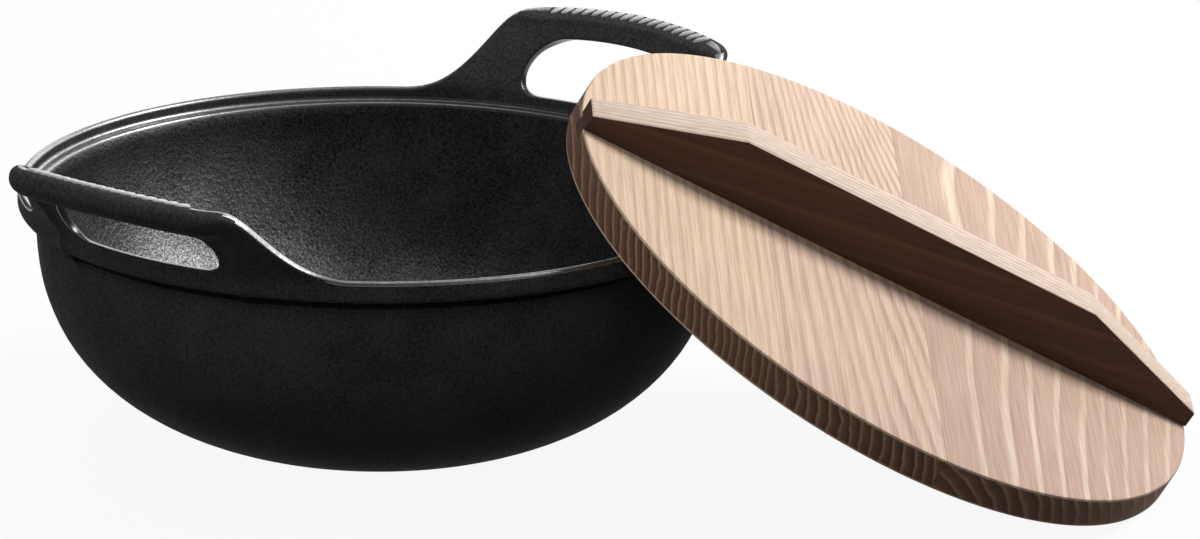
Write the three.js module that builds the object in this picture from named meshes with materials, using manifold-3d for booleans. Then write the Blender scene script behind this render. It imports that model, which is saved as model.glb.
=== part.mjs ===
// A cast iron wok with two loop ears, and its wooden lid leaning against the rim.
// Millimetres, +Z up. The origin is the centre of the flat foot, on the floor. The ears lie along X.
import * as THREE from 'three';
import { mergeVertices } from 'three/addons/utils/BufferGeometryUtils.js';
import Module from 'manifold-3d';

// The bowl: a turned casting with a flat foot, a curved wall and a band around the rim.
const rimRadius = 150;
const rimHeight = 109.4;
const footRadius = 42;
const bandHeight = 9.2;
const bandProud = 7.5;
const wallThickness = 4.5;
const wallFullness = 1.18;
const wallUprightness = 0.745;
const rimRound = 1.2;
const bandRound = 2;

// The seat for the lid: a step inside the rim.
const landWidth = 3.4;
const seatDepth = 4.7;

// The ears: two flared loops drawn up from the rim. Lengths run along the rim's outside.
const earRise = 34.2;
const earCrownDrop = 3.5;
const earShoulderHalf = 47;
const earFootHalf = 92.5;
const earShoulderReach = 9;
const earFootReach = 29;
const earFlare = THREE.MathUtils.degToRad(31);
const earBury = 2;
const earSkin = 0.3;

// The arms of an ear are thin; its grip bar is a thicker bead that dies away down the arms.
const armThickness = 4;
const armFullRise = 8;
const barThickness = 14.1;
const barDepth = 11.5;
const barUndercut = 2.5;
const barStartRise = 12;
const barFullRise = 31;
const barRound = 3.6;
const edgeRoundShare = 0.4;

// The gussets: a short pointed rib beside each end of the slot, running down over the band.
const gussetProud = 2;
const gussetDrop = 11;
const gussetPlace = 50;
const gussetHalf = 8;

// The finger slot through each ear.
const slotHalf = 41.5;
const slotRise = 22;
const slotRound = 13;

// The lid: a round board of edge-joined planks, with a batten let into its top.
const lidClearance = 2.1;
const lidThickness = 14.3;
const lidChamfer = 1.2;
const upperJoint = -58;
const lowerJoint = 15;
const pinDiameter = 5;
const pinLength = 36;
const pinSpread = 75;
const fitGap = 0.3;

// The batten: a bar across the lid, lower at its ends, held by a sliding dovetail.
const battenHeight = 28.2;
const battenEndHeight = 7.4;
const battenFlatHalf = 83;
const battenTopWidth = 18.7;
const battenFootWidth = 15;
const tongueDepth = 5.5;
const tongueNeckWidth = 10;
const tongueBaseWidth = 13;

// How the lid leans: its lower edge stands on the floor and its underside rests on the rim.
const leanDirection = THREE.MathUtils.degToRad(-69.6);
const leanTilt = THREE.MathUtils.degToRad(31.1);
const leanSideShift = 16.9;
const battenTurn = THREE.MathUtils.degToRad(23.6);

// How finely round shapes are divided.
const turnSteps = 64;
const wallSteps = 12;
const cornerSteps = 3;
const slotCornerSteps = 6;
const earCurveSteps = 8;
const pinSides = 12;
const cutMargin = 5;
const weldDistance = 1e-4;

const seatRadius = rimRadius - landWidth;
const wallRadius = rimRadius - bandProud;
const bandBottom = rimHeight - bandHeight;
const ledgeHeight = rimHeight - seatDepth;
const lidRadius = seatRadius - lidClearance;

const wasm = await Module();
wasm.setup();

function toSolid(geometry) {
  const bare = geometry.index ? geometry.toNonIndexed() : geometry.clone();
  bare.deleteAttribute('normal');
  bare.deleteAttribute('uv');
  const merged = mergeVertices(bare, weldDistance);
  const triVerts = new Uint32Array(merged.index.array);
  const vertProperties = new Float32Array(merged.attributes.position.array);
  return new wasm.Manifold(new wasm.Mesh({ numProp: 3, vertProperties, triVerts }));
}

function toGeometry(solid) {
  const mesh = solid.getMesh();
  const geometry = new THREE.BufferGeometry();
  geometry.setAttribute('position', new THREE.BufferAttribute(new Float32Array(mesh.vertProperties), 3));
  geometry.setIndex(new THREE.BufferAttribute(new Uint32Array(mesh.triVerts), 1));
  geometry.computeVertexNormals();
  return geometry;
}

// A closed (radius, height) outline turned about Z.
function turned(outline) {
  return new THREE.LatheGeometry(outline, turnSteps).rotateX(Math.PI / 2);
}

// A quarter-round corner between two directions, as a short row of points.
function corner(before, at, after) {
  return new THREE.QuadraticBezierCurve(before, at, after).getPoints(cornerSteps);
}

function point(x, y) {
  return new THREE.Vector2(x, y);
}

// The outside of the wall, from the edge of the foot up to the underside of the band.
function wallOutline() {
  const points = [];
  for (let i = 0; i <= wallSteps; i += 1) {
    const turn = (Math.PI / 2) * (i / wallSteps);
    const radius = footRadius + (wallRadius - footRadius) * Math.sin(turn) ** wallFullness;
    const height = bandBottom * (1 - Math.cos(turn) ** wallUprightness);
    points.push(point(radius, height));
  }
  return points;
}

// The same line moved inwards by the wall's thickness.
function inset(points, distance) {
  return points.map((here, i) => {
    const before = points[Math.max(i - 1, 0)];
    const after = points[Math.min(i + 1, points.length - 1)];
    const along = after.clone().sub(before).normalize();
    return point(here.x - along.y * distance, here.y + along.x * distance);
  });
}

function bowlSolid() {
  const outside = wallOutline();
  const inside = inset(outside, wallThickness).reverse();
  inside[0].y = bandBottom;
  inside[inside.length - 1].y = wallThickness;
  const innerRadius = inside[0].x;
  const outline = [
    point(0, 0),
    ...outside,
    ...corner(point(rimRadius - bandRound, bandBottom), point(rimRadius, bandBottom),
      point(rimRadius, bandBottom + bandRound)),
    ...corner(point(rimRadius, rimHeight - rimRound), point(rimRadius, rimHeight),
      point(rimRadius - rimRound, rimHeight)),
    ...corner(point(seatRadius + rimRound, rimHeight), point(seatRadius, rimHeight),
      point(seatRadius, rimHeight - rimRound)),
    point(seatRadius, ledgeHeight),
    ...corner(point(innerRadius + rimRound, ledgeHeight), point(innerRadius, ledgeHeight),
      point(innerRadius, ledgeHeight - rimRound)),
    ...inside,
    point(0, wallThickness),
  ];
  return toSolid(turned(outline));
}

// The ear's top line, as (length along the rim, rise above the rim): a low crown between two S-curves.
function earTopLine() {
  const shoulderRise = earRise - earCrownDrop;
  const slope = (2 * earCrownDrop) / earShoulderHalf;
  const reachRise = shoulderRise - slope * earShoulderReach;
  const line = new THREE.Path();
  line.moveTo(-earFootHalf, 0);
  line.bezierCurveTo(-earFootHalf + earFootReach, 0, -earShoulderHalf - earShoulderReach, reachRise,
    -earShoulderHalf, shoulderRise);
  line.quadraticCurveTo(0, earRise + earCrownDrop, earShoulderHalf, shoulderRise);
  line.bezierCurveTo(earShoulderHalf + earShoulderReach, reachRise, earFootHalf - earFootReach, 0,
    earFootHalf, 0);
  return line.getPoints(earCurveSteps);
}

// One (radius, height) section of the ear at a place on its top line.
// Towards the feet the section sinks just under the rim's own surface.
function earSection(along, rise) {
  const { lerp, smoothstep } = THREE.MathUtils;
  const arm = smoothstep(rise, 0, armFullRise);
  const bar = smoothstep(rise, barStartRise, barFullRise);
  const gusset = 1 - smoothstep(Math.abs(Math.abs(along) - gussetPlace), 0, gussetHalf);
  const slope = Math.tan(earFlare);
  const inner = seatRadius + rimRound;
  const landFlat = landWidth - 2 * rimRound;
  const armWidth = lerp(landFlat, armThickness / Math.cos(earFlare), arm);
  const topWidth = lerp(armWidth, barThickness / Math.cos(earFlare), bar);
  const top = rimHeight + rise - earSkin * (1 - arm);
  const topInner = inner + (top - rimHeight) * slope;
  const topOuter = topInner + topWidth;
  const round = Math.min(barRound, topWidth * edgeRoundShare);
  const innerRun = Math.min(round, (top - rimHeight + earBury) / 2);
  const barLow = top - lerp(2 * round, barDepth, bar);
  const webOuter = topOuter - (top - barLow) * slope - (topWidth - armWidth);
  const baseOuter = lerp(rimRadius - earSkin, rimRadius + gussetProud, gusset);
  const buried = wallRadius - wallThickness / 2;
  return [
    point(inner, rimHeight - earBury),
    ...corner(point(topInner - innerRun * slope * arm, top - innerRun), point(topInner, top),
      point(topInner + round, top)),
    ...corner(point(topOuter - round, top), point(topOuter, top),
      point(topOuter - round * slope, top - round)),
    point(topOuter - (top - barLow) * slope, barLow),
    point(webOuter, barLow - barUndercut * bar),
    point(baseOuter, bandBottom + earSkin * (1 - gusset)),
    point(buried, bandBottom - gussetDrop * gusset + earBury * (1 - gusset)),
    point(buried, bandBottom + 2 * earBury),
  ];
}

// A closed body drawn through sections that stand at angles around Z.
function drawnThrough(sections, angles) {
  const count = sections[0].length;
  const positions = [];
  const faces = [];
  sections.forEach((section, i) => {
    section.forEach(({ x, y }) => positions.push(x * Math.cos(angles[i]), x * Math.sin(angles[i]), y));
  });
  for (let i = 0; i + 1 < sections.length; i += 1) {
    for (let j = 0; j < count; j += 1) {
      const a = i * count + j;
      const b = i * count + ((j + 1) % count);
      faces.push(a, b, a + count, b, b + count, a + count);
    }
  }
  const caps = THREE.ShapeUtils.triangulateShape(sections[0], []);
  const last = (sections.length - 1) * count;
  for (const [a, b, c] of caps) {
    faces.push(a, b, c);
    faces.push(last + a, last + c, last + b);
  }
  const geometry = new THREE.BufferGeometry();
  geometry.setAttribute('position', new THREE.Float32BufferAttribute(positions, 3));
  geometry.setIndex(faces);
  return geometry;
}

// The slot's outline seen from outside: square below, where the rim closes it, and rounded above.
function slotGeometry() {
  const low = bandBottom - gussetDrop - cutMargin;
  const high = rimHeight + slotRise;
  const outline = new THREE.Shape();
  outline.moveTo(-slotHalf, low);
  outline.lineTo(slotHalf, low);
  outline.lineTo(slotHalf, high - slotRound);
  outline.absarc(slotHalf - slotRound, high - slotRound, slotRound, 0, Math.PI / 2);
  outline.absarc(-slotHalf + slotRound, high - slotRound, slotRound, Math.PI / 2, Math.PI);
  outline.closePath();
  const depth = rimRadius + earRise + barThickness;
  const cut = { depth, bevelEnabled: false, curveSegments: slotCornerSteps };
  const geometry = new THREE.ExtrudeGeometry(outline, cut);
  return geometry.rotateX(Math.PI / 2).rotateZ(Math.PI / 2);
}

function earSolid() {
  const line = earTopLine();
  const angles = line.map((place) => place.x / rimRadius);
  const sections = line.map((place) => earSection(place.x, place.y));
  return toSolid(drawnThrough(sections, angles)).subtract(toSolid(slotGeometry()));
}

function castIron() {
  return new THREE.MeshStandardMaterial({ color: 0x1c1c1d, roughness: 0.55, metalness: 0.6 });
}

function lidWood() {
  return new THREE.MeshStandardMaterial({ color: 0xcdb09a, roughness: 0.7, metalness: 0 });
}

function bambooPin() {
  return new THREE.MeshStandardMaterial({ color: 0xd8c38f, roughness: 0.6, metalness: 0 });
}

function named(name, geometry, material) {
  const mesh = new THREE.Mesh(geometry, material);
  mesh.name = name;
  return mesh;
}

function wokBody() {
  const ear = earSolid();
  const solid = bowlSolid().add(ear).add(ear.rotate([0, 0, 180]));
  return named('wok_body', toGeometry(solid), castIron());
}

// The lid's own frame: the centre of its underside, X along the batten, Y along the planks' grain.
function roundBoard(radius) {
  return toSolid(turned([
    point(0, 0),
    point(radius - lidChamfer, 0),
    point(radius, lidChamfer),
    point(radius, lidThickness - lidChamfer),
    point(radius - lidChamfer, lidThickness),
    point(0, lidThickness),
  ]));
}

// A slab of the lid between two places along the batten.
function slab(from, to) {
  const length = 2 * (lidRadius + cutMargin);
  const box = new THREE.BoxGeometry(to - from, length, lidThickness + 2 * cutMargin);
  return toSolid(box.translate((from + to) / 2, 0, lidThickness / 2));
}

// A straight length along X with the given (Y, Z) section.
function alongBatten(section, length) {
  const run = { depth: length, bevelEnabled: false };
  const geometry = new THREE.ExtrudeGeometry(new THREE.Shape(section), run);
  return geometry.translate(0, 0, -length / 2).rotateX(Math.PI / 2).rotateZ(Math.PI / 2);
}

function grooveSolid() {
  const neck = tongueNeckWidth / 2 + fitGap;
  const base = tongueBaseWidth / 2 + fitGap;
  const bottom = lidThickness - tongueDepth - fitGap;
  const lean = (base - neck) / (lidThickness - bottom);
  const mouth = neck - lean * cutMargin;
  const section = [
    point(-base, bottom),
    point(base, bottom),
    point(mouth, lidThickness + cutMargin),
    point(-mouth, lidThickness + cutMargin),
  ];
  return toSolid(alongBatten(section, 2 * (lidRadius + cutMargin)));
}

// The pins' places: two across each joint between planks, half way through the board.
const pinPlaces = [upperJoint, lowerJoint].flatMap((joint) => [-pinSpread, pinSpread].map((side) => (
  new THREE.Vector3(joint, side, lidThickness / 2))));

function pinGeometry(place, gap) {
  const radius = pinDiameter / 2 + gap;
  const pin = new THREE.CylinderGeometry(radius, radius, pinLength + 2 * gap, pinSides);
  return pin.rotateZ(Math.PI / 2).translate(place.x, place.y, place.z);
}

function planks() {
  const names = ['lid_plank_upper', 'lid_plank_middle', 'lid_plank_lower'];
  const edge = lidRadius + cutMargin;
  const stops = [-edge, upperJoint, lowerJoint, edge];
  const holes = pinPlaces.map((place) => toSolid(pinGeometry(place, fitGap)));
  const groove = grooveSolid();
  return names.map((name, i) => {
    let solid = roundBoard(lidRadius).intersect(slab(stops[i] + fitGap / 2, stops[i + 1] - fitGap / 2));
    solid = solid.subtract(groove);
    for (const hole of holes) {
      solid = solid.subtract(hole);
    }
    return named(name, toGeometry(solid), lidWood());
  });
}

function batten() {
  const foot = lidThickness + fitGap;
  const top = lidThickness + battenHeight;
  const section = [
    point(-tongueBaseWidth / 2, lidThickness - tongueDepth),
    point(tongueBaseWidth / 2, lidThickness - tongueDepth),
    point(tongueNeckWidth / 2, foot),
    point(battenFootWidth / 2, foot),
    point(battenTopWidth / 2, top),
    point(-battenTopWidth / 2, top),
    point(-battenFootWidth / 2, foot),
    point(-tongueNeckWidth / 2, foot),
  ];
  const bar = toSolid(alongBatten(section, 2 * lidRadius));
  const side = new THREE.Shape([
    point(-lidRadius, 0),
    point(lidRadius, 0),
    point(lidRadius, lidThickness + battenEndHeight),
    point(battenFlatHalf, top),
    point(-battenFlatHalf, top),
    point(-lidRadius, lidThickness + battenEndHeight),
  ]);
  const sideSolid = new THREE.ExtrudeGeometry(side, { depth: 2 * battenTopWidth, bevelEnabled: false });
  sideSolid.translate(0, 0, -battenTopWidth).rotateX(Math.PI / 2);
  const round = toSolid(turned([point(0, 0), point(lidRadius, 0), point(lidRadius, top), point(0, top)]));
  const solid = bar.intersect(toSolid(sideSolid)).intersect(round);
  return named('lid_batten', toGeometry(solid), lidWood());
}

function pins() {
  return pinPlaces.map((place, i) => named(`lid_pin_${i + 1}`, pinGeometry(place, 0), bambooPin()));
}

// The lid's underside clears the rim's rounded edge, and its lower edge the floor, by the fit gap.
function leaningLid() {
  const board = new THREE.Group();
  board.add(...planks(), batten(), ...pins());
  board.rotation.z = battenTurn;

  const tilted = new THREE.Group();
  const rise = (lidRadius - lidChamfer) * Math.sin(leanTilt) + fitGap;
  const overRim = Math.cos(leanTilt) * (rimHeight - rimRound - rise) + rimRound + fitGap;
  const reach = rimRadius - rimRound + overRim / Math.sin(leanTilt);
  tilted.add(board);
  tilted.rotation.y = leanTilt;
  tilted.position.set(reach, leanSideShift, rise);

  const leaning = new THREE.Group();
  leaning.add(tilted);
  leaning.rotation.z = leanDirection;
  return leaning;
}

const wok = new THREE.Group();
wok.add(wokBody(), leaningLid());

export default wok;
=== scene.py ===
import math

import bmesh
import bpy
from mathutils import Matrix, Vector
from mathutils.geometry import interpolate_bezier


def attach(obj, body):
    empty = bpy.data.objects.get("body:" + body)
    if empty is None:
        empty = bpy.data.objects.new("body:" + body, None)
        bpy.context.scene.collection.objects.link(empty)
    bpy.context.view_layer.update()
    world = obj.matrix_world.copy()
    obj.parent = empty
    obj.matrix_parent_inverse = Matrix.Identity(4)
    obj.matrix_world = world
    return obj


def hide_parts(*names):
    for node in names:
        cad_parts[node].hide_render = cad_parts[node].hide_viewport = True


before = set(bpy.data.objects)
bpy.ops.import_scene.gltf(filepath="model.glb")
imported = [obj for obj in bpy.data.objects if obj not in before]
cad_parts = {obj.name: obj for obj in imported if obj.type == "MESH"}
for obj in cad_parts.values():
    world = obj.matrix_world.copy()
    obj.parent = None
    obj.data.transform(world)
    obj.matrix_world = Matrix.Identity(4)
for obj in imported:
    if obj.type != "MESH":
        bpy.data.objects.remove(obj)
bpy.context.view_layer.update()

# The wok: bowl, flat foot, rim band, stepped lid seat and two loop ears in one grey iron casting.
# The bowl is turned from one section in the mould, and at each ear the rim is drawn up and out into
# a flared plate with a thick bar along its top and a long finger slot under the bar.
rim_radius = 0.150
rim_height = 0.1094
foot_radius = 0.042
wall_radius = 0.1425
wall_thickness = 0.0045
wall_fullness = 1.18
wall_uprightness = 0.745
band_bottom = 0.1002
band_round = 0.002
band_flat = 0.0018
face_low = band_bottom + 0.0027
rim_round = 0.0016
land_width = 0.0034
seat_radius = rim_radius - land_width
ledge_height = 0.1038
ledge_round = 0.0013
crease_round = 0.0015
seat_fillet = 0.0016
mouth_radius = 0.1420
mouth_edge = 0.0008
mouth_depth = 0.040

ear_height = 0.0350
ear_crown_drop = 0.0031
ear_shoulder = 0.048
ear_foot = 0.0925
ear_shoulder_reach = 0.009
ear_foot_reach = 0.029
ear_lean = math.tan(math.radians(36.8))
ear_lean_ease = 0.003
arm_thickness = 0.0050
arm_full_rise = 0.008
plate_start = rim_height - 0.003
plate_full = rim_height + 0.006
loop_rise = (0.006, 0.030)
crest_depth = 0.006
bar_thickness = 0.0162
bar_cap = 0.0050
bar_depth = 0.0125
bar_crown = [(1.0, 0.0), (0.95, 0.5), (0.82, 0.85), (0.64, 1.0),
             (0.42, 0.84), (0.16, 0.56), (0.04, 0.34), (0.0, 0.0)]
bar_full_half = 0.040
bar_end_half = 0.055
bar_underside = (0.8, 1.35)
bar_bevel_depth = 0.0065
bar_bevel_slope = 0.5
slot_top_outside = 0.1316
slot_top_inside = 0.1338
slot_arch = 1.5
slot_upper_round = (0.015, 0.013)
slot_lower_round = (0.0095, 0.0090)
slot_edge_round = 0.0014
gusset_proud = 0.0030
gusset_tip = 0.0905
gusset_root = 0.0006
gusset_low = 0.0985
gusset_high = face_low - 0.0004

turn_steps = 250
column_pitch = rim_radius * math.tau / turn_steps
slot_columns = 11
slot_end = slot_columns * column_pitch
gusset_place = 13 * column_pitch
gusset_half = column_pitch
face_rows = 12
slot_rows = 6
slot_first_row = 2
ribbed_half = 0.037
rubbed_from = ear_foot - 0.010


def eased(value, low, high):
    """0 up to low and 1 from high, with a smooth S between them."""
    share = min(1.0, max(0.0, (value - low) / (high - low)))
    return share * share * (3.0 - 2.0 * share)


def between(first, second, share):
    return first + (second - first) * share


def round_corner(radius, height, size, start, end, steps):
    """Section points on a quarter round, by angles in degrees from straight out."""
    turns = [math.radians(between(start, end, step / steps)) for step in range(steps + 1)]
    return [(radius + size * math.cos(turn), height + size * math.sin(turn)) for turn in turns]


def wall_curve(turn):
    reach = foot_radius + (wall_radius - foot_radius) * math.sin(turn) ** wall_fullness
    return Vector((reach, band_bottom * (1.0 - math.cos(turn) ** wall_uprightness)))


def wall_point(turn, inset):
    """Bowl wall from the foot (0) to the band (a quarter turn), moved into the iron by inset."""
    nudge = 1e-3
    after = wall_curve(min(turn + nudge, math.pi / 2))
    before = wall_curve(max(turn - nudge, 0.0))
    along = (after - before).normalized()
    place = wall_curve(turn) + Vector((-along.y, along.x)) * inset
    return (place.x, place.y)


def turn_at(height):
    return math.acos((1.0 - height / band_bottom) ** (1.0 / wall_uprightness))


wall_turns = [math.radians(6.25 * step) for step in range(13)]
wall_turns += [turn_at(height) for height in (0.070, 0.076, 0.082, 0.087, 0.0905, 0.0935, 0.0962)]

section = [(0.0, 0.0), (foot_radius * 0.5, 0.0), (foot_radius * 0.9, 0.0)]
section += [wall_point(turn, 0.0) for turn in wall_turns]
wall_end = len(section)
section += round_corner(wall_radius + crease_round, band_bottom - crease_round, crease_round, 180, 90, 3)
section += [(rim_radius - band_round - band_flat, band_bottom)]
section += round_corner(rim_radius - band_round, band_bottom + band_round, band_round, -90, 0, 3)
face_start = len(section)
face_high = rim_height - rim_round
section += [(rim_radius, between(face_low, face_high, step / face_rows)) for step in range(face_rows)]
crown_start = len(section)
section += round_corner(rim_radius - rim_round, face_high, rim_round, 0, 90, 3)
section += round_corner(seat_radius + rim_round, face_high, rim_round, 90, 180, 3)
back_start = len(section)
back_low = ledge_height + seat_fillet
section += [(seat_radius, between(face_high, back_low, (step + 1) / (face_rows + 1)))
            for step in range(face_rows)]
seat_start = len(section)
section += round_corner(seat_radius - seat_fillet, ledge_height + seat_fillet, seat_fillet, 0, -90, 4)
section += [(mouth_radius + ledge_round + mouth_edge, ledge_height)]
section += round_corner(mouth_radius + ledge_round, ledge_height - ledge_round, ledge_round, 90, 180, 3)
inside_start = len(section)
for turn in [math.pi / 2] + wall_turns[::-1]:
    near_mouth = 1.0 - eased(band_bottom - wall_curve(turn).y, 0.0, mouth_depth)
    mouth_wall = wall_radius - mouth_radius + mouth_edge
    section += [wall_point(turn, between(wall_thickness, mouth_wall, near_mouth))]
section += [(foot_radius * 0.5, wall_thickness), (0.0, wall_thickness)]

wok_mesh = bmesh.new()
row_of = wok_mesh.verts.layers.int.new("row")
chain = []
for row, (reach, height) in enumerate(section):
    point = wok_mesh.verts.new((reach, 0.0, height))
    point[row_of] = row
    chain.append(point)
edges = [wok_mesh.edges.new(pair) for pair in zip(chain, chain[1:])]
bmesh.ops.spin(wok_mesh, geom=chain + edges, cent=(0, 0, 0), axis=(0, 0, 1), angle=math.tau,
               steps=turn_steps, use_merge=True)
bmesh.ops.remove_doubles(wok_mesh, verts=wok_mesh.verts, dist=1e-6)
bmesh.ops.recalc_face_normals(wok_mesh, faces=wok_mesh.faces)

shoulder_rise = ear_height - ear_crown_drop
shoulder_fall = 2.0 * ear_crown_drop / ear_shoulder
ear_side = interpolate_bezier(Vector((ear_shoulder, shoulder_rise, 0)),
                              Vector((ear_shoulder + ear_shoulder_reach,
                                      shoulder_rise - ear_shoulder_reach * shoulder_fall, 0)),
                              Vector((ear_foot - ear_foot_reach, 0, 0)), Vector((ear_foot, 0, 0)), 60)


def ear_rise(along):
    """How far the ear's top line stands over the rim, by the place along the rim."""
    along = abs(along)
    if along <= ear_shoulder:
        return ear_height - ear_crown_drop * (along / ear_shoulder) ** 2
    for before, after in zip(ear_side, ear_side[1:]):
        if before.x <= along <= after.x:
            return between(before.y, after.y, (along - before.x) / (after.x - before.x))
    return 0.0


def ear_inner(height):
    over = max(0.0, height - rim_height)
    return seat_radius + ear_lean * over * over / (over + ear_lean_ease)


def bar_share(along):
    """1 along the grip bar, falling to 0 where the bar has died away into the arm."""
    return 1.0 - eased(abs(along), bar_full_half, bar_end_half)


def crown_side(along):
    """Height where the straight sides of the ear end and its rounded crown starts."""
    return rim_height + ear_rise(along) - between(rim_round, bar_cap, bar_share(along))


def ear_outer(height, along):
    """Radius of an ear's outer face: the plate, the bar along its top and the gussets at its ends."""
    rise = ear_rise(along)
    arm = between(land_width, arm_thickness, eased(rise, 0.0, arm_full_rise))
    thick = between(land_width, arm, eased(height, plate_start, plate_full))
    under = rim_height + rise - height
    deep = between(crest_depth, bar_depth, bar_share(along))
    bead = 1.0 - eased(under, bar_underside[0] * deep, bar_underside[1] * deep)
    full = bar_thickness - bar_bevel_slope * max(0.0, bar_bevel_depth - under)
    barred = between(thick, full, bead * bar_share(along))
    return ear_inner(height) + max(barred, thick + gusset_share(along) * gusset_proud)


def gusset_share(along):
    """1 along the middle of the short gussets under the ear's ends, 0 away from them."""
    return max(0.0, 1.0 - abs(abs(along) - gusset_place) / gusset_half)


def slot_ceiling(along, going_up):
    """The slot is cut square to the leaning plate, so it ends higher on the inside, and it is arched."""
    return (slot_top_outside if going_up else slot_top_inside) - slot_arch * along * along


def level_heights(low, side, along, going_up):
    """Heights of the rows on an ear's face, outside going up and inside coming down: two under the slot,
    those beside the slot, and three on the bar."""
    ceiling = slot_ceiling(along, going_up)
    foot = [between(low, rim_height, share) for share in ((0.0, 0.5) if going_up else (0.3, 0.65))]
    slot = [between(rim_height, ceiling, step / slot_rows) for step in range(slot_rows + 1)]
    bar = [between(ceiling, side, step / 4) for step in (1, 2, 3)]
    rows = foot + slot + bar
    return rows if going_up else rows[::-1]


def face_height(row, along, going_up):
    rise = ear_rise(along)
    side = crown_side(along)
    low = face_low if going_up else back_low
    place = row - face_start if going_up else row - back_start
    plain = place / face_rows if going_up else 1.0 - (place + 1) / (face_rows + 1)
    if abs(along) < slot_end + 1e-6:
        return level_heights(low, side, along, going_up)[place]
    full_side = crown_side(slot_end)
    loop = (level_heights(low, full_side, slot_end, going_up)[place] - low) / (full_side - low)
    return low + between(plain, loop, eased(rise, *loop_rise)) * (side - low)


def gusset_line(height):
    share = (height - gusset_tip) / (face_low - gusset_tip)
    return between(wall_radius - gusset_root, rim_radius + gusset_proud, share)


def cast_place(row, along, radius, height):
    """Radius and height of a point of the casting near an ear."""
    if row < wall_end:
        if height > gusset_tip:
            radius += gusset_share(along) * max(0.0, gusset_line(height) - radius)
        return radius, height
    if row < face_start:
        level = between(gusset_low, gusset_high, (row - wall_end) / (face_start - wall_end))
        share = gusset_share(along)
        return between(radius, gusset_line(level), share), between(height, level, share)
    if row < crown_start:
        height = face_height(row, along, True)
        return ear_outer(height, along), height
    if row < back_start:
        side = crown_side(along)
        plain = ((section[row][0] - seat_radius) / land_width, (section[row][1] - face_high) / rim_round)
        across, up = Vector(plain).lerp(Vector(bar_crown[row - crown_start]), bar_share(along))
        inner = ear_inner(side)
        top = rim_height + ear_rise(along)
        return between(inner, ear_outer(side, along), across), between(side, top, up)
    height = face_height(row, along, False)
    return ear_inner(height), height


def ear_along(vert):
    """Place along the rim from the middle of the nearer ear, and that ear's heading."""
    heading = math.atan2(vert.co.y, vert.co.x)
    middle = 0.0 if abs(heading) < math.pi / 2 else math.pi
    return rim_radius * math.remainder(heading - middle, math.tau), middle


def put(vert, along, middle, radius, height):
    heading = middle + along / rim_radius
    vert.co = (radius * math.cos(heading), radius * math.sin(heading), height)


for vert in wok_mesh.verts:
    row = vert[row_of]
    if row < 3 or row >= seat_start:
        continue
    along, middle = ear_along(vert)
    if abs(along) < ear_foot:
        radius, height = cast_place(row, along, section[row][0], section[row][1])
        put(vert, along, middle, radius, height)

outside, rubbed, cooking, ridge, crease, slot_wall = range(6)


def finish_at(rows, along):
    """Which finish a face has, by its rows and the place along the ear of its nearer end. The worn line
    on an ear's crest starts narrow at the end of the ribs and widens as the bar dies away."""
    low, high = min(rows), max(rows)
    share = bar_share(along)
    narrow = 3 if share > 0.5 else 2 if share > 0.06 else 1
    if crown_start <= low and high < back_start:
        if along >= rubbed_from:
            return rubbed
        on_crest = crown_start + narrow <= low and high < back_start - narrow
        return ridge if on_crest and along > ribbed_half else outside
    if seat_start <= low and high < inside_start:
        return rubbed
    if low >= inside_start - 1:
        return cooking
    # The crease under the rim band takes a darker finish: painted shade where the band overhangs the
    # wall.
    return crease if wall_end - 1 <= low and high <= wall_end + 5 else outside


for face in wok_mesh.faces:
    rows = [vert[row_of] for vert in face.verts]
    face.material_index = finish_at(rows, min(abs(ear_along(vert)[0]) for vert in face.verts))

face_slot = face_start + slot_first_row
back_slot = back_start + face_rows - 1 - slot_first_row - slot_rows
slot_faces = []
for face in wok_mesh.faces:
    rows = [vert[row_of] for vert in face.verts]
    on_face = min(rows) >= face_slot and max(rows) <= face_slot + slot_rows
    on_back = min(rows) >= back_slot and max(rows) <= back_slot + slot_rows
    if (on_face or on_back) and all(abs(ear_along(vert)[0]) < slot_end + 1e-5 for vert in face.verts):
        slot_faces.append(face)
bmesh.ops.delete(wok_mesh, geom=slot_faces, context="FACES")

slot_edges = [edge for edge in wok_mesh.edges if edge.is_boundary]
for vert in {vert for edge in slot_edges for vert in edge.verts}:
    along, middle = ear_along(vert)
    height = vert.co.z
    on_face = vert[row_of] < crown_start
    upper = height > 0.5 * (rim_height + slot_ceiling(slot_end, on_face))
    wide, tall = slot_upper_round if upper else slot_lower_round
    reach = slot_end - wide
    level = slot_ceiling(reach, on_face) - tall if upper else rim_height + tall
    away = Vector(((abs(along) - reach) / wide, (height - level) / tall * (1.0 if upper else -1.0)))
    if away.x > 0.0 and away.y > 0.0:
        away.normalize()
        along = math.copysign(reach + wide * away.x, along)
        height = level + tall * away.y * (1.0 if upper else -1.0)
    radius = ear_outer(height, along) if on_face else ear_inner(height)
    put(vert, along * rim_radius / radius, middle, radius, height)

for side in (1, -1):
    loops = [edge for edge in slot_edges if edge.verts[0].co.x * side > 0]
    walls = bmesh.ops.bridge_loops(wok_mesh, edges=loops)["faces"]
    for face in walls:
        face.material_index = slot_wall
rounded = bmesh.ops.bevel(wok_mesh, geom=slot_edges, offset=slot_edge_round, offset_type="OFFSET",
                          affect="EDGES", segments=3, profile=0.5, material=-1, clamp_overlap=True)
# The middle strip of a rounded edge, with only strips beside it, has the finish of the slot's wall.
strips = set(rounded["faces"])
for face in strips:
    if all(beside in strips for edge in face.edges for beside in edge.link_faces):
        face.material_index = slot_wall
bmesh.ops.recalc_face_normals(wok_mesh, faces=wok_mesh.faces)


def as_piece(name, shape):
    """A smooth-shaded object at the origin from a finished bmesh."""
    mesh = bpy.data.meshes.new(name)
    shape.to_mesh(mesh)
    shape.free()
    mesh.shade_smooth()
    piece = bpy.data.objects.new(name, mesh)
    bpy.context.scene.collection.objects.link(piece)
    return piece


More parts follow.
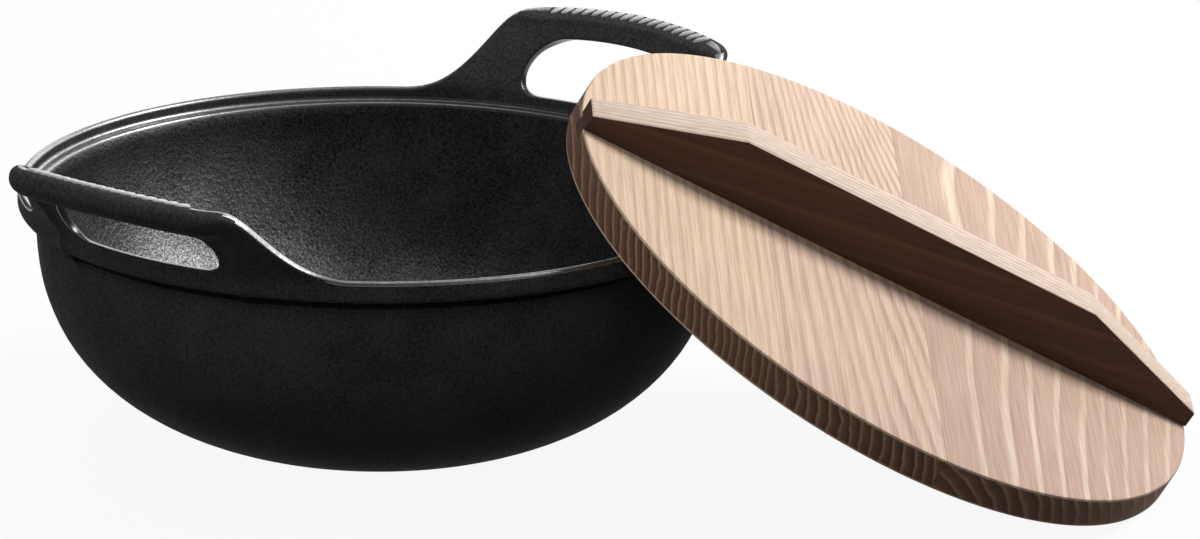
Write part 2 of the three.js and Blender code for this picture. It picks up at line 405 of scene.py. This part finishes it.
def tint(red, green, blue):
    """A colour written as a screen shows it, 0 to 255, for a shader."""
    shades = [shade / 255 for shade in (red, green, blue)]
    return tuple(s / 12.92 if s <= 0.04045 else ((s + 0.055) / 1.055) ** 2.4 for s in shades) + (1.0,)


def finish(name):
    """A new node material: its tree and its surface shader."""
    material = bpy.data.materials.new(name)
    material.use_nodes = True
    return material, material.node_tree, material.node_tree.nodes["Principled BSDF"]


def node(tree, kind, sockets, **settings):
    made = tree.nodes.new("ShaderNode" + kind)
    for key, value in settings.items():
        setattr(made, key, value)
    for key, value in sockets.items():
        if isinstance(value, bpy.types.NodeSocket):
            tree.links.new(value, made.inputs[key])
        else:
            made.inputs[key].default_value = value
    return made


def ramp(tree, factor, stops):
    """A colour ramp through (place, colour) stops."""
    made = node(tree, "ValToRGB", {"Fac": factor})
    band = made.color_ramp
    while len(band.elements) < len(stops):
        band.elements.new(0.5)
    for element, (place, colour) in zip(band.elements, stops):
        element.position = place
        element.color = colour
    return made.outputs["Color"]


def spread(tree, value, low, high):
    """A 0 to 1 value drawn out to low to high."""
    return node(tree, "MapRange", {"Value": value, "To Min": low, "To Max": high}).outputs["Result"]


def cast_iron(name, deep, pale, grain, grain_depth, rough, specular, bare=0.0):
    """Seasoned iron: sand grain left by the mould, softer mottling from the oil baked onto it. With bare
    at 1 the oil is rubbed off and the metal shows."""
    material, tree, surface = finish(name)
    place = node(tree, "TexCoord", {}).outputs["Object"]
    sand = node(tree, "TexNoise", {"Vector": place, "Scale": grain, "Detail": 3.0, "Roughness": 0.6})
    pits = node(tree, "TexVoronoi", {"Vector": place, "Scale": grain * 0.45})
    mottle = node(tree, "TexNoise", {"Vector": place, "Scale": 34.0, "Detail": 4.0, "Roughness": 0.55})
    speck = node(tree, "Math", {0: sand.outputs["Fac"], 1: 0.7}, operation="MULTIPLY")
    shade = node(tree, "Math", {0: mottle.outputs["Fac"], 1: 0.3, 2: speck.outputs[0]},
                 operation="MULTIPLY_ADD")
    colour = ramp(tree, shade.outputs[0], [(0.38, deep), (0.64, pale)])
    tree.links.new(colour, surface.inputs["Base Color"])
    uneven = spread(tree, shade.outputs[0], rough + 0.12, rough - 0.12)
    tree.links.new(uneven, surface.inputs["Roughness"])
    surface.inputs["Specular IOR Level"].default_value = specular
    surface.inputs["Metallic"].default_value = bare
    relief = node(tree, "Math", {0: pits.outputs["Distance"], 1: 0.5, 2: sand.outputs["Fac"]},
                  operation="MULTIPLY_ADD")
    bump = node(tree, "Bump", {"Height": relief.outputs[0], "Strength": 0.6, "Distance": grain_depth})
    tree.links.new(bump.outputs["Normal"], surface.inputs["Normal"])
    return material


wok = as_piece("wok_casting", wok_mesh)
# Deepest and palest grey, fineness and depth of the grain, roughness, gloss and bareness, in the order
# in which the faces count their finishes.
iron_finishes = [
    ("seasoned_outside", 50, 84, 900, 0.0002, 0.80, 0.03, 0.0),
    ("rubbed_rim", 140, 186, 800, 0.00006, 0.40, 0.5, 1.0),
    ("cooking_face", 60, 142, 1000, 0.00035, 0.47, 0.5, 1.0),
    ("worn_ridge", 140, 190, 800, 0.00006, 0.48, 0.5, 1.0),
    # The crease finish is a darker copy of the outside iron: painted shade under the band.
    ("painted_shade_crease", 26, 44, 900, 0.0002, 0.88, 0.03, 0.0),
    ("slot_wall", 24, 50, 800, 0.0001, 0.30, 0.9, 0.0),
]
for name, deep, pale, grain, grain_depth, rough, specular, bare in iron_finishes:
    wok.data.materials.append(cast_iron(name, tint(deep, deep, deep + 1), tint(pale, pale, pale + 1),
                                        grain, grain_depth, rough, specular, bare))
rounding = wok.modifiers.new("rounding", "SUBSURF")
rounding.levels = rounding.render_levels = 1
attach(wok, "wok")
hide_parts("wok_body")

# Grip ribs: a plain row of short slanted ribs cast along the crown of each ear's bar, so that a
# greasy hand doesn't slip. They are the same iron as the bar, a little paler from wear, and their
# near-white colour is a painted glint of the light on the rib tops.
rib_count = 17
rib_step = 0.0043
rib_size = (0.0011, 0.0038, 0.0012)
rib_across = 0.44
rib_up = 0.86
rib_tilt = Matrix.Rotation(math.radians(-15), 4, "Y") @ Matrix.Rotation(math.radians(62), 4, "Z")
grip_mesh = bmesh.new()
for middle in (0.0, math.pi):
    for place in range(rib_count):
        along = (place - (rib_count - 1) / 2) * rib_step
        side = crown_side(along)
        radius = between(ear_inner(side), ear_outer(side, along), rib_across)
        made = bmesh.ops.create_uvsphere(grip_mesh, u_segments=10, v_segments=6, radius=1.0)["verts"]
        heading = middle + along / rim_radius
        seat = Matrix.Translation((radius, 0, side + rib_up * bar_cap))
        turned = Matrix.Rotation(heading, 4, "Z") @ seat @ rib_tilt @ Matrix.Diagonal((*rib_size, 1.0))
        bmesh.ops.transform(grip_mesh, matrix=turned, verts=made)
grip = as_piece("grip_ribs", grip_mesh)
# Near-white ribs: paler worn iron with a painted glint of light on their tops.
grip.data.materials.append(cast_iron("worn_ribs_painted_glint", tint(215, 214, 212), tint(250, 249, 247), 1200, 0.0001,
                                     0.40, 0.5))
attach(grip, "wok")

# The lid board: three softwood planks edge-joined on bamboo pins, sawn round and planed flat, with a
# dovetail groove across the grain for the batten. It leans on the wok's rim, its low edge on the table.
lid_radius = 0.1445
board_radius = 0.1442
lid_thickness = 0.0143
lid_chamfer = 0.0012
upper_joint = -0.058
lower_joint = 0.015
joint_gap = 0.0001
fit_gap = 0.0003
pin_diameter = 0.005
pin_length = 0.036
pin_spread = 0.075
tongue_depth = 0.0055
tongue_neck = 0.010
tongue_base = 0.013
lean_direction = math.radians(-69.6)
lean_tilt = math.radians(31.1)
lean_side = 0.0169
batten_turn = math.radians(23.6)

lid_rise = (lid_radius - lid_chamfer) * math.sin(lean_tilt) + fit_gap
rim_touch = math.cos(lean_tilt) * (rim_height - rim_round - lid_rise) + rim_round + fit_gap
lid_reach = rim_radius - rim_round + rim_touch / math.sin(lean_tilt)
lid_place = (Matrix.Rotation(lean_direction, 4, "Z")
             @ Matrix.Translation((lid_reach, lean_side, lid_rise))
             @ Matrix.Rotation(lean_tilt, 4, "Y") @ Matrix.Rotation(batten_turn, 4, "Z"))


def dovetail_bar(shape, neck, base, low, high, half_length):
    """A bar along X with a dovetail section, narrow at the top."""
    corners = [(-base / 2, low), (base / 2, low), (neck / 2, high), (-neck / 2, high)]
    end = [shape.verts.new((-half_length, y, z)) for y, z in corners]
    face = shape.faces.new(end)
    run = bmesh.ops.extrude_face_region(shape, geom=[face])["geom"]
    moved = [part for part in run if isinstance(part, bmesh.types.BMVert)]
    bmesh.ops.translate(shape, vec=(2 * half_length, 0, 0), verts=moved)
    bmesh.ops.recalc_face_normals(shape, faces=shape.faces)


board_mesh = bmesh.new()
bmesh.ops.create_circle(board_mesh, cap_ends=True, segments=256, radius=board_radius)
lifted = bmesh.ops.extrude_face_region(board_mesh, geom=board_mesh.faces[:])["geom"]
bmesh.ops.translate(board_mesh, vec=(0, 0, lid_thickness),
                    verts=[part for part in lifted if isinstance(part, bmesh.types.BMVert)])
bmesh.ops.recalc_face_normals(board_mesh, faces=board_mesh.faces)
arris = [edge for edge in board_mesh.edges if abs(edge.verts[0].co.z - edge.verts[1].co.z) < 1e-6]
bmesh.ops.bevel(board_mesh, geom=arris, offset=lid_chamfer, offset_type="OFFSET", affect="EDGES",
                segments=2, profile=0.5, material=-1)
board = as_piece("board_blank", board_mesh)

cutter_mesh = bmesh.new()
groove_low = lid_thickness - tongue_depth - fit_gap
taper = (tongue_base - tongue_neck) / tongue_depth
cut_over = 0.004
cut_past = 0.010
bore_radius = pin_diameter / 2 + fit_gap
dovetail_bar(cutter_mesh, tongue_neck + 2 * fit_gap - taper * cut_over, tongue_base + 2 * fit_gap,
             groove_low, lid_thickness + cut_over, lid_radius + cut_past)
for x in (upper_joint, lower_joint):
    for y in (pin_spread, -pin_spread):
        bore = Matrix.Translation((x, y, lid_thickness * 0.5)) @ Matrix.Rotation(math.pi / 2, 4, "Y")
        bmesh.ops.create_cone(cutter_mesh, cap_ends=True, segments=24, radius1=bore_radius,
                              radius2=bore_radius, depth=pin_length + 2 * fit_gap, matrix=bore)
cutter = as_piece("board_cutter", cutter_mesh)
cut = board.modifiers.new("groove", "BOOLEAN")
cut.object = cutter
cut.operation = "DIFFERENCE"
cut.solver = "EXACT"
grooved = bpy.data.meshes.new_from_object(board.evaluated_get(bpy.context.evaluated_depsgraph_get()))
bpy.data.objects.remove(board)
bpy.data.objects.remove(cutter)


def grain_space(tree, place):
    """Object coordinates turned and shifted so that Y runs along the grain of a piece at this place."""
    undo = place.inverted()
    seen = node(tree, "TexCoord", {}).outputs["Object"]
    sockets = {"Vector": seen, "Location": undo.to_translation(), "Rotation": undo.to_euler("XYZ")}
    return node(tree, "Mapping", sockets).outputs["Vector"]


def stretched(tree, vector, scale):
    return node(tree, "VectorMath", {0: vector, 1: scale}, operation="MULTIPLY").outputs["Vector"]


def blended(tree, factor, first, second, mode="MIX"):
    made = node(tree, "Mix", {}, data_type="RGBA", blend_type=mode)
    for key, value in ((0, factor), (6, first), (7, second)):
        if isinstance(value, bpy.types.NodeSocket):
            tree.links.new(value, made.inputs[key])
        else:
            made.inputs[key].default_value = value
    return made.outputs[2]


def planed_wood(name, place, heart, ring_gap, fan, wander, run, tones, drift_tone, seed):
    """Planed softwood: yearly rings round the heart of a tapering trunk, cut by the saw into lines and
    flames along the grain, with a slow drift of tone, fine fibres and a faint ridge on every ring. The
    rings wander, in bends that are the shorter the larger run is."""
    material, tree, surface = finish(name)
    grain = grain_space(tree, place)
    parts = node(tree, "SeparateXYZ", {"Vector": grain}).outputs
    taper = node(tree, "Math", {0: parts["Y"], 1: -fan, 2: 1.0}, operation="MULTIPLY_ADD").outputs[0]
    fanned = node(tree, "Math", {0: parts["X"], 1: taper}, operation="DIVIDE").outputs[0]
    trunk = node(tree, "CombineXYZ", {"X": fanned, "Y": parts["Y"], "Z": parts["Z"]}).outputs["Vector"]
    trunk = node(tree, "VectorMath", {0: trunk, 1: (heart[0], 0.0, heart[1])},
                 operation="SUBTRACT").outputs["Vector"]
    slow = stretched(tree, grain, (1.0, run, 1.0))
    sway = node(tree, "TexNoise", {"Vector": slow, "W": seed, "Scale": 16.0, "Detail": 2.0,
                                   "Roughness": 0.5}, noise_dimensions="4D")
    sway = node(tree, "VectorMath", {0: sway.outputs["Color"], 1: (0.5, 0.5, 0.5)}, operation="SUBTRACT")
    swayed = node(tree, "VectorMath", {0: sway.outputs["Vector"], 1: (wander, 0.0, wander), 2: trunk},
                  operation="MULTIPLY_ADD").outputs["Vector"]
    close = stretched(tree, grain, (1.0, 0.06, 1.0))
    uneven = node(tree, "TexNoise", {"Vector": close, "W": seed + 3.0, "Scale": 0.35 / ring_gap,
                                     "Detail": 2.0}, noise_dimensions="4D")
    uneven = node(tree, "VectorMath", {0: uneven.outputs["Color"], 1: (0.5, 0.5, 0.5)},
                  operation="SUBTRACT")
    ringed = node(tree, "VectorMath", {0: uneven.outputs["Vector"], 1: (ring_gap, 0.0, ring_gap),
                                       2: swayed}, operation="MULTIPLY_ADD").outputs["Vector"]
    rings = node(tree, "TexWave", {"Vector": ringed, "Scale": 0.314159 / ring_gap, "Distortion": 0.0},
                 wave_type="RINGS", rings_direction="Y", wave_profile="SAW").outputs["Fac"]
    colour = ramp(tree, rings, tones)
    drift = node(tree, "TexNoise", {"Vector": slow, "W": seed + 7.0, "Scale": 22.0, "Detail": 3.0},
                 noise_dimensions="4D").outputs["Fac"]
    drift = node(tree, "MapRange", {"Value": drift, "From Min": 0.35, "From Max": 0.7, "To Max": 0.6})
    colour = blended(tree, drift.outputs["Result"], colour, drift_tone)
    fibre_place = stretched(tree, grain, (1.0, 0.025, 1.0))
    fibre = node(tree, "TexNoise", {"Vector": fibre_place, "Scale": 1000.0, "Detail": 3.0,
                                    "Roughness": 0.65})
    shade = ramp(tree, fibre.outputs["Fac"], [(0.28, tint(226, 222, 218)), (0.62, tint(255, 255, 255))])
    colour = blended(tree, 1.0, colour, shade, "MULTIPLY")
    tree.links.new(colour, surface.inputs["Base Color"])
    tree.links.new(spread(tree, fibre.outputs["Fac"], 0.78, 0.58), surface.inputs["Roughness"])
    surface.inputs["Specular IOR Level"].default_value = 0.15
    relief = node(tree, "Math", {0: rings, 1: 0.1, 2: fibre.outputs["Fac"]}, operation="MULTIPLY_ADD")
    bump = node(tree, "Bump", {"Height": relief.outputs[0], "Strength": 0.35, "Distance": 0.0002})
    tree.links.new(bump.outputs["Normal"], surface.inputs["Normal"])
    return material


cream, straw = tint(248, 220, 194), tint(241, 211, 188)
tan, mauve = tint(229, 195, 169), tint(209, 175, 159)
taupe, streak = tint(219, 188, 168), tint(250, 228, 204)
# Sawn edges are a darker brown: partly the sawn grain and partly painted shade on the edges.
sawn_shade, sawn_shade_dark, sawn_shade_pale = tint(140, 106, 88), tint(100, 72, 58), tint(190, 154, 128)
fine_lines = [(0.0, cream), (0.40, cream), (0.72, tan), (0.88, tan), (1.0, cream)]
pink_lines = [(0.0, straw), (0.40, straw), (0.70, mauve), (0.88, mauve), (1.0, straw)]
flame_lines = [(0.0, streak), (0.15, streak), (0.21, mauve), (0.42, taupe), (0.90, taupe), (1.0, streak)]
sawn_shade_lines = [(0.0, sawn_shade_pale), (0.16, sawn_shade_pale), (0.30, sawn_shade), (0.80, sawn_shade_dark), (0.96, sawn_shade_dark),
              (1.0, sawn_shade_pale)]
# Both edges of each plank, then where the tree's heart was, the spacing of the rings, how they fan,
# wander and bend, their tones, the tone they drift to and the seed.
plank_cuts = [
    ("lid_plank_upper", -1.0, upper_joint,
     (-0.42, -0.16), 0.0048, 0.2, 0.004, 0.22, fine_lines, cream, 1.0),
    ("lid_plank_middle", upper_joint, lower_joint,
     (-0.36, -0.14), 0.0055, 2.5, 0.004, 0.22, pink_lines, straw, 5.0),
    ("lid_plank_lower", lower_joint, 1.0,
     (0.066, -0.050), 0.0090, -0.5, 0.008, 0.5, flame_lines, taupe, 9.0),
]
planed, sawn = range(2)
sharp_from = math.radians(25)
fan_place = lid_place @ Matrix.Translation((-0.060, 0.0, 0.0))
for name, left, right, heart, ring_gap, fan, wander, run, tones, drift_tone, seed in plank_cuts:
    plank = bmesh.new()
    plank.from_mesh(grooved)
    for edge_place, outward in ((left, -1.0), (right, 1.0)):
        if abs(edge_place) < lid_radius:
            cut_at = (edge_place - outward * joint_gap / 2, 0, 0)
            everything = plank.verts[:] + plank.edges[:] + plank.faces[:]
            bmesh.ops.bisect_plane(plank, geom=everything, dist=1e-7, plane_co=cut_at,
                                   plane_no=(outward, 0, 0), clear_outer=True)
            open_edges = [edge for edge in plank.edges if edge.is_boundary]
            bmesh.ops.holes_fill(plank, edges=open_edges, sides=0)
    bmesh.ops.recalc_face_normals(plank, faces=plank.faces)
    # Faces square to the board are the sawn edges, in the darker sawn finish: partly their own grain,
    # partly painted shade.
    for face in plank.faces:
        face.material_index = sawn if abs(face.normal.z) < 0.3 else planed
    bmesh.ops.transform(plank, matrix=lid_place, verts=plank.verts)
    piece = as_piece(name.replace("lid_", "sawn_"), plank)
    piece.data.set_sharp_from_angle(angle=sharp_from)
    piece.data.materials.append(planed_wood(name.replace("lid_", "planed_"), fan_place, heart, ring_gap,
                                            fan, wander, run, tones, drift_tone, seed))
    piece.data.materials.append(planed_wood(name.replace("lid_", "sawn_edge_"), fan_place, heart,
                                            ring_gap * 0.6, fan, wander, run, sawn_shade_lines, sawn_shade, seed))
    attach(piece, "lid")
    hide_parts(name)

# The batten: one straight-grained softwood bar slid into the board's dovetail groove from the edge.
# It stiffens the lid and is its handle, planed narrower at its foot, with both ends sawn to a slope.
batten_height = 0.0282
batten_end_height = 0.0074
batten_flat_half = 0.083
batten_top_width = 0.0187
batten_foot_width = 0.015
batten_round = 0.0009
batten_grain_tilt = math.radians(9)

batten_mesh = bmesh.new()
half_section = [(tongue_base / 2, -tongue_depth), (tongue_neck / 2, joint_gap),
                (batten_foot_width / 2, joint_gap), (batten_top_width / 2, batten_height)]
corners = half_section + [(-y, z) for y, z in half_section[::-1]]
batten_end = [batten_mesh.verts.new((-board_radius, y, z + lid_thickness)) for y, z in corners]
face = batten_mesh.faces.new(batten_end)
run = bmesh.ops.extrude_face_region(batten_mesh, geom=[face])["geom"]
bmesh.ops.translate(batten_mesh, vec=(2 * board_radius, 0, 0),
                    verts=[part for part in run if isinstance(part, bmesh.types.BMVert)])
slope = math.atan2(batten_height - batten_end_height, lid_radius - batten_flat_half)
for side in (1, -1):
    everything = batten_mesh.verts[:] + batten_mesh.edges[:] + batten_mesh.faces[:]
    bmesh.ops.bisect_plane(batten_mesh, geom=everything,
                           plane_co=(side * batten_flat_half, 0, lid_thickness + batten_height),
                           plane_no=(side * math.sin(slope), 0, math.cos(slope)), clear_outer=True)
    open_edges = [edge for edge in batten_mesh.edges if edge.is_boundary]
    bmesh.ops.holes_fill(batten_mesh, edges=open_edges, sides=0)
bmesh.ops.dissolve_limit(batten_mesh, angle_limit=math.radians(0.5), verts=batten_mesh.verts,
                         edges=batten_mesh.edges)
bmesh.ops.recalc_face_normals(batten_mesh, faces=batten_mesh.faces)
arris_from = lid_thickness + 0.004
upper_arris = [edge for edge in batten_mesh.edges if min(vert.co.z for vert in edge.verts) > arris_from]
bmesh.ops.bevel(batten_mesh, geom=upper_arris, offset=batten_round, offset_type="OFFSET", affect="EDGES",
                segments=3, profile=0.5, material=-1)
batten_mesh.normal_update()
# The batten's sides and ends take a dark brown copy of the top's wood: painted shade on the faces beside
# the top.
planed_top, shaded_side = range(2)
for face in batten_mesh.faces:
    face.material_index = planed_top if face.normal.z > 0.5 else shaded_side
bmesh.ops.transform(batten_mesh, matrix=lid_place, verts=batten_mesh.verts)
batten = as_piece("handle_batten", batten_mesh)
batten.data.set_sharp_from_angle(angle=sharp_from)
batten_place = (lid_place @ Matrix.Translation((0.0, 0.0, lid_thickness))
                @ Matrix.Rotation(math.radians(-90), 4, "Z")
                @ Matrix.Rotation(batten_grain_tilt, 4, "X"))
pale_lines = [(0.0, tint(246, 228, 214)), (0.40, tint(244, 224, 209)), (0.72, tint(226, 196, 178)),
              (0.92, tint(206, 172, 152)), (1.0, tint(246, 228, 214))]
# Dark side tones: painted shade on the batten's sides and ends.
shaded_side_lines = [(0.0, tint(110, 83, 69)), (0.10, tint(104, 77, 64)), (0.25, tint(92, 66, 55)),
              (0.85, tint(86, 62, 51)), (1.0, tint(94, 69, 57))]
batten.data.materials.append(planed_wood("planed_batten", batten_place, (0.09, 0.02), 0.0030, 0.0, 0.003,
                                         0.22, pale_lines, tint(240, 218, 202), 14.0))
batten.data.materials.append(planed_wood("shaded_batten_side", batten_place, (0.02, 0.09), 0.0120, 0.0,
                                         0.006, 0.22, shaded_side_lines, tint(90, 64, 53), 17.0))
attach(batten, "lid")
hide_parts("lid_batten")

# The pins: four split bamboo pegs driven into blind holes across the joints between the planks.
# They can't be seen in the closed joints, so the solids stay and take a bamboo finish.
bamboo, tree, surface = finish("split_bamboo")
peg_place = lid_place @ Matrix.Rotation(math.radians(90), 4, "Z")
peg_grain = stretched(tree, grain_space(tree, peg_place), (1.0, 0.03, 1.0))
strands = node(tree, "TexNoise", {"Vector": peg_grain, "Scale": 1600.0, "Detail": 2.0, "Roughness": 0.6})
peg_tones = [(0.35, tint(178, 144, 92)), (0.65, tint(222, 196, 142))]
tree.links.new(ramp(tree, strands.outputs["Fac"], peg_tones), surface.inputs["Base Color"])
tree.links.new(spread(tree, strands.outputs["Fac"], 0.62, 0.45), surface.inputs["Roughness"])
ridges = node(tree, "Bump", {"Height": strands.outputs["Fac"], "Strength": 0.4, "Distance": 0.0002})
tree.links.new(ridges.outputs["Normal"], surface.inputs["Normal"])
for number in range(1, 5):
    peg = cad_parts["lid_pin_%d" % number]
    peg.data.materials.clear()
    peg.data.materials.append(bamboo)

# The studio: a wide white table top, one large soft lamp high on the right, a weak one overhead and a
# low wide one behind that draws the bright lines on the rim. Fills at the left and front lift the dark.
photo_turn = Matrix.Rotation(math.radians(-52.0), 4, "Z")
middle_of_view = Vector((0.05681, -0.07271, 0.07143))
table_drop = 0.0003
table_half = 8.0

floor_mesh = bmesh.new()
bmesh.ops.create_grid(floor_mesh, x_segments=1, y_segments=1, size=table_half)
bmesh.ops.translate(floor_mesh, vec=(0, 0, -table_drop), verts=floor_mesh.verts)
table = as_piece("table_top", floor_mesh)
table_white, tree, surface = finish("white_table")
seen = node(tree, "LightPath", {}).outputs
watched = node(tree, "Math", {0: seen["Is Camera Ray"], 1: seen["Is Glossy Ray"]}, operation="ADD")
watched = node(tree, "Math", {0: watched.outputs[0], 1: seen["Is Transmission Ray"]}, operation="ADD",
               use_clamp=True)
paper = node(tree, "TexNoise", {"Vector": node(tree, "TexCoord", {}).outputs["Object"], "Scale": 400.0})
pale = ramp(tree, paper.outputs["Fac"], [(0.0, tint(250, 250, 250)), (1.0, tint(255, 255, 255))])
tree.links.new(blended(tree, watched.outputs[0], tint(70, 70, 70), pale), surface.inputs["Base Color"])
surface.inputs["Roughness"].default_value = 0.9
surface.inputs["Specular IOR Level"].default_value = 0.0
glow = node(tree, "Emission", {"Color": (1.0, 1.0, 1.0, 1.0), "Strength": 1.0})
lift = node(tree, "Math", {0: watched.outputs[0], 1: 0.92}, operation="MULTIPLY")
shown = node(tree, "MixShader", {0: lift.outputs[0], 1: surface.outputs[0], 2: glow.outputs[0]})
tree.links.new(shown.outputs[0], tree.nodes["Material Output"].inputs["Surface"])
table.data.materials.append(table_white)


def soft_lamp(name, right, away, up, wide, tall, power, mirrored=True):
    """A flat soft lamp, placed as seen from the camera and aimed at the middle of the view. One that
    isn't mirrored is a fill so soft that shiny iron doesn't show it."""
    lamp = bpy.data.lights.new(name, "AREA")
    lamp.shape = "RECTANGLE"
    lamp.size = wide
    lamp.size_y = tall
    lamp.energy = power
    holder = bpy.data.objects.new(name, lamp)
    holder.visible_glossy = mirrored
    bpy.context.scene.collection.objects.link(holder)
    holder.location = middle_of_view + photo_turn @ Vector((right, away, up))
    holder.rotation_euler = (middle_of_view - holder.location).to_track_quat("-Z", "Y").to_euler()


soft_lamp("lamp_right", 1.57, 0.39, 1.50, 0.9, 0.9, 40.0)
soft_lamp("lamp_over", -0.1, 0.5, 2.3, 1.5, 1.5, 6.0)
soft_lamp("lamp_back", 0.45, 2.0, 0.70, 2.4, 0.9, 18.0)
soft_lamp("lamp_left", -2.0, 0.2, 0.9, 0.9, 0.9, 7.0, False)
soft_lamp("lamp_front", -0.5, -1.9, 1.5, 1.6, 1.6, 12.0, False)

world = bpy.data.worlds.new("studio")
world.use_nodes = True
bpy.context.scene.world = world
world.node_tree.nodes["Background"].inputs["Color"].default_value = (1.0, 1.0, 1.0, 1.0)
world.node_tree.nodes["Background"].inputs["Strength"].default_value = 0.05

# The camera: far off with a long lens, at the height and turn of the photograph, held a little askew.
camera_distance = 3.2
camera_height_angle = math.radians(16.548)
camera_roll = math.radians(0.618)
camera = bpy.data.cameras.new("photo_camera")
camera.lens = 230.15
camera.sensor_width = 36.0
camera.sensor_fit = "HORIZONTAL"
camera.clip_end = 60.0
photographer = bpy.data.objects.new("photo_camera", camera)
bpy.context.scene.collection.objects.link(photographer)
aim = (photo_turn @ Matrix.Rotation(math.pi / 2 - camera_height_angle, 4, "X")
       @ Matrix.Rotation(camera_roll, 4, "Z"))
stand = middle_of_view + aim @ Vector((0, 0, camera_distance))
photographer.matrix_world = Matrix.Translation(stand) @ aim
bpy.context.scene.camera = photographer
bpy.context.scene.view_settings.view_transform = "Standard"
